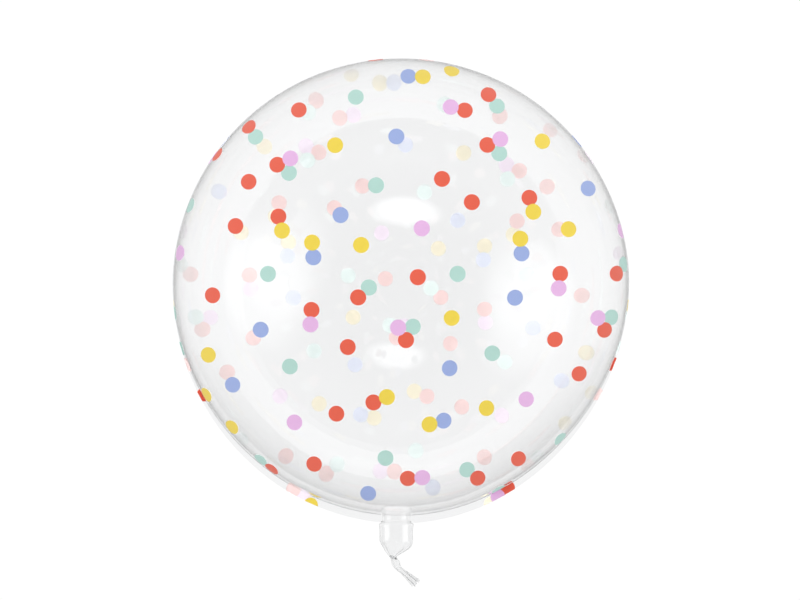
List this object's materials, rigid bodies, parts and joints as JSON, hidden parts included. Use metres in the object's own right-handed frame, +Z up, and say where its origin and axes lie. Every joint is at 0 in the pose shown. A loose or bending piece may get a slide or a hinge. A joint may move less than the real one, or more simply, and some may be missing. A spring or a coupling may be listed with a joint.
{
  "type": "bubble balloon",
  "caption": "Round clear film balloon with polka dots, a welded seam margin, a short knotted neck and a crumpled tail, lying on its back.",
  "frame": {"origin": "centre of the small flat spot that the loose balloon rests on, right under the middle of its ball", "axes": "+Z up, out of the balloon's front face as it lies on its back; +Y from the neck to the crown; +X to the right as the front is looked at with the neck down"},
  "size_m": [0.4008, 0.464, 0.3986],
  "materials": {
    "clear_film": "clear glossy stretch film",
    "red_ink": "coral red printing ink over a white undercoat",
    "yellow_ink": "yellow printing ink over a white undercoat",
    "mint_ink": "mint green printing ink over a white undercoat",
    "blue_ink": "periwinkle blue printing ink over a white undercoat",
    "pink_ink": "orchid pink printing ink over a white undercoat"
  },
  "bodies": {
    "root": {"balloon": "clear_film"}
  },
  "joints": []
}
